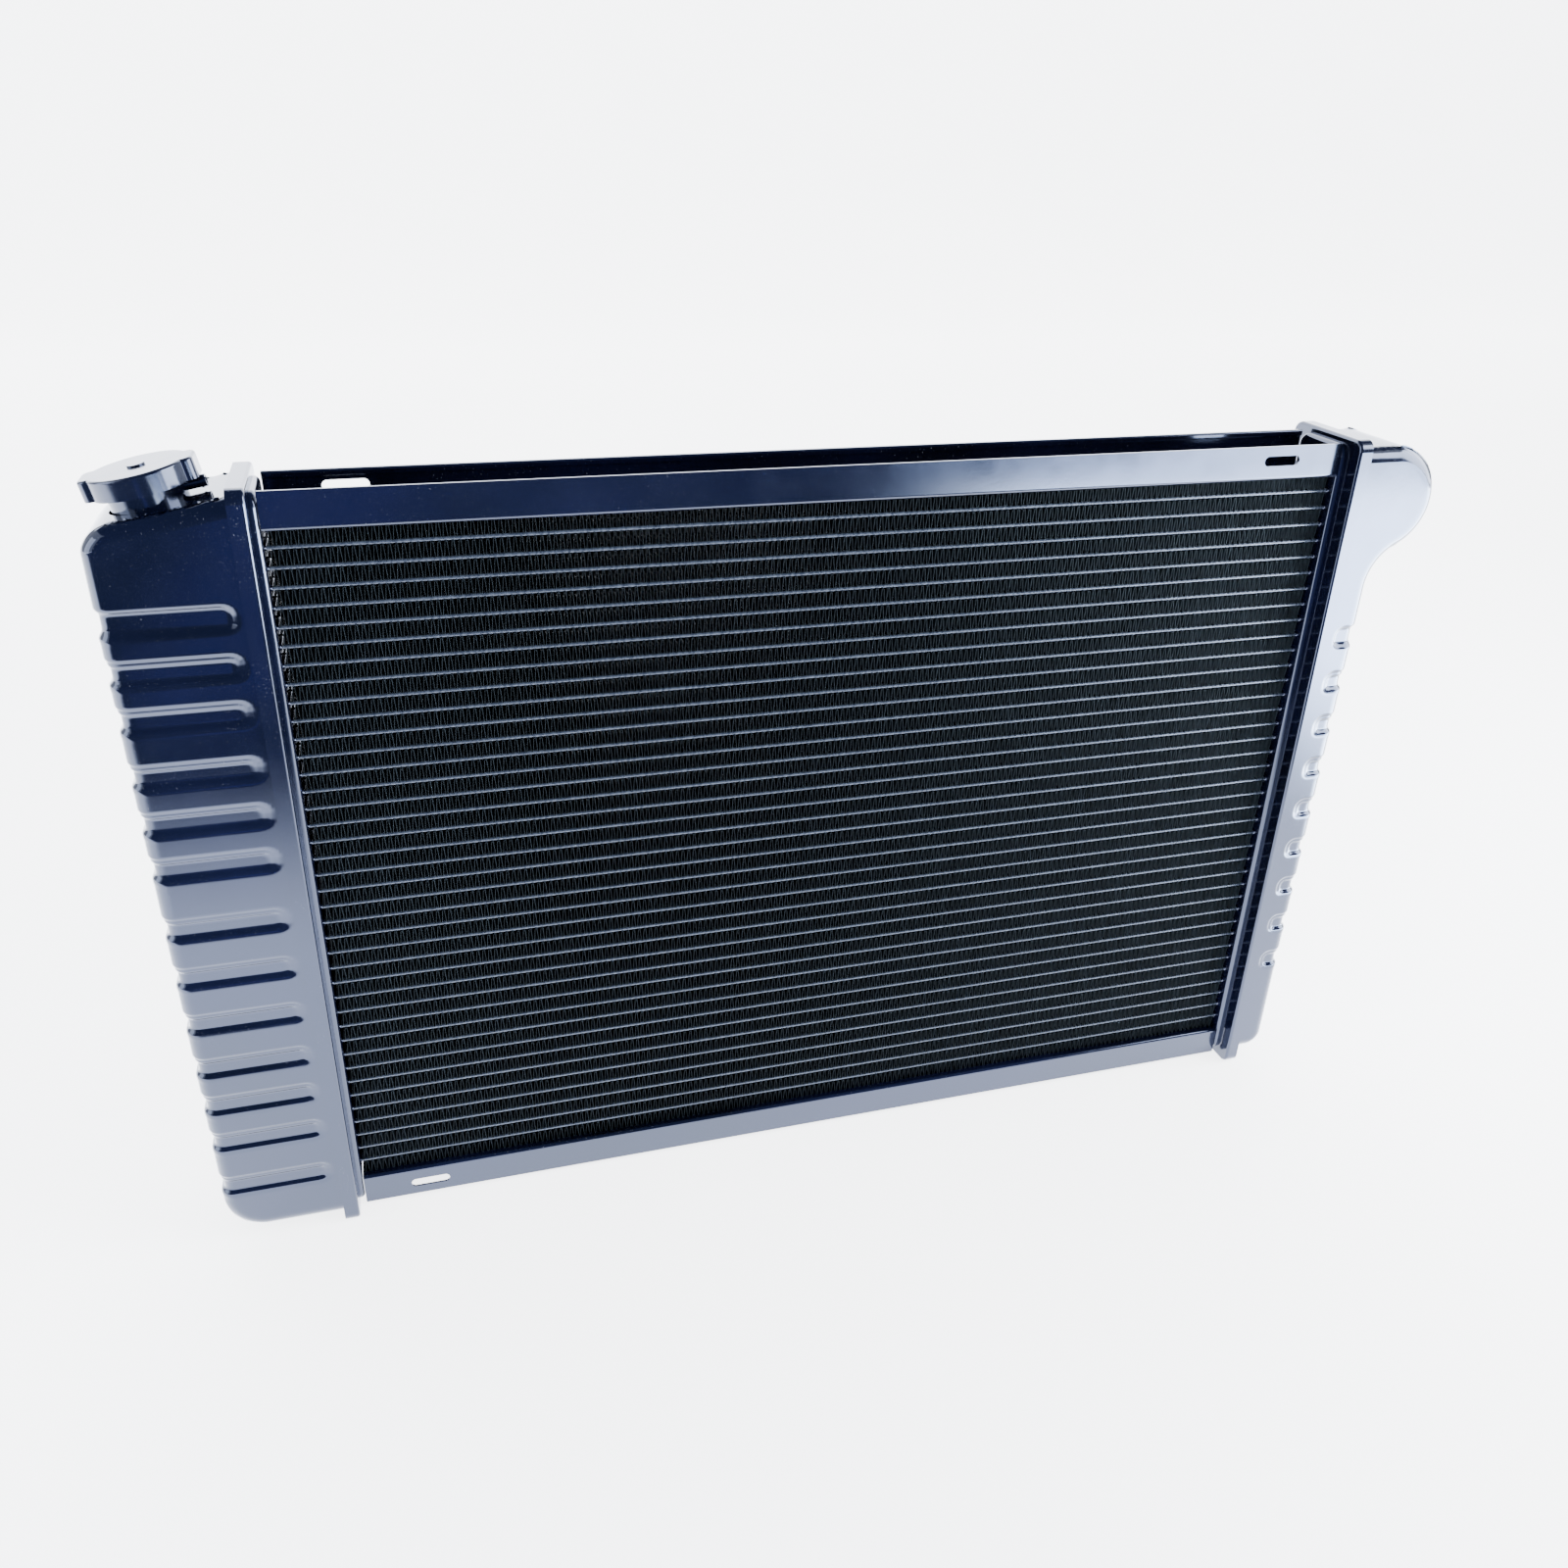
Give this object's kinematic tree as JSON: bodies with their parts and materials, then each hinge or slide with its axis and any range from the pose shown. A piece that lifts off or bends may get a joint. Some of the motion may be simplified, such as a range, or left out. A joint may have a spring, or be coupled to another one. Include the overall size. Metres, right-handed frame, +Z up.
{
  "type": "car radiator",
  "caption": "Crossflow car radiator with finned tube core, two ribbed side tanks, top and bottom channels, hose necks and a twist-off pressure cap.",
  "frame": {"origin": "middle of the whole object's footprint, on the floor under the two header rims", "axes": "+Z up, +X to the viewer's right when facing the grille side, +Y back towards the engine"},
  "size_m": [0.8134, 0.11, 0.5049],
  "materials": {
    "black_paint": "gloss",
    "fin_paint": "matte",
    "tube_paint": "satin",
    "cap_steel": "gloss",
    "brass": "satin",
    "spring_steel": "satin",
    "plated_steel": "satin",
    "rubber": "matte"
  },
  "bodies": {
    "root": {"front_tube_row": "tube_paint", "rear_tube_row": "tube_paint", "fin_strips": "fin_paint", "top_channel": "black_paint", "bottom_channel": "black_paint", "left_header": "black_paint", "right_header": "black_paint", "left_tank": "black_paint", "right_tank": "black_paint", "inlet_neck": "black_paint", "outlet_neck": "black_paint", "filler_neck": "black_paint", "overflow_nipple": "black_paint", "oil_cooler_outer_tube": "brass", "oil_cooler_inner_tube": "brass", "cooler_fittings": "brass", "cooler_washers": "brass", "cooler_nuts": "plated_steel", "drain_bush": "brass"},
    "cap_core": {"cap_disc": "spring_steel", "cap_upper_seal": "rubber", "cap_bell": "brass", "cap_rivet": "cap_steel", "cap_spring": "spring_steel"},
    "cap_shell": {"cap_shell": "cap_steel"},
    "pressure_valve": {"pressure_valve": "brass", "cap_lower_seal": "rubber"},
    "vacuum_valve": {"vacuum_valve": "brass"},
    "drain_seal": {"drain_seal": "rubber"},
    "drain_screw": {"drain_screw": "brass"}
  },
  "joints": [
    {"name": "cap_rise", "type": "slide", "parent": "root", "child": "cap_core", "axis": [-0.1908, 0, 0.9816], "range_m": [0, 0.002]},
    {"name": "cap_turn", "type": "hinge", "parent": "cap_core", "child": "cap_shell", "pos_m": [-0.37693, -0.02003, 0.49936], "axis": [-0.1908, 0, 0.9816], "range_deg": [0, 90]},
    {"name": "pressure_valve_lift", "type": "slide", "parent": "cap_core", "child": "pressure_valve", "axis": [-0.1908, 0, 0.9816], "range_m": [0, 0.0025], "stiffness_N_per_m": 2000, "springref_m": -0.004, "deforming": ["cap_spring"]},
    {"name": "vacuum_valve_drop", "type": "slide", "parent": "pressure_valve", "child": "vacuum_valve", "axis": [0.1908, 0, -0.9816], "range_m": [0, 0.0015]},
    {"name": "drain_travel", "type": "slide", "parent": "root", "child": "drain_seal", "axis": [0, 1, 0], "range_m": [0, 0.0025]},
    {"name": "drain_turn", "type": "hinge", "parent": "drain_seal", "child": "drain_screw", "pos_m": [0.3577, 0.02998, 0.0325], "axis": [0, 1, 0], "range_deg": [0, 720]}
  ],
  "couplings": [
    {"joint": "cap_rise", "follows": "cap_turn", "m_per_rad": 0.0012732},
    {"joint": "drain_travel", "follows": "drain_turn", "m_per_rad": 0.00019894}
  ]
}
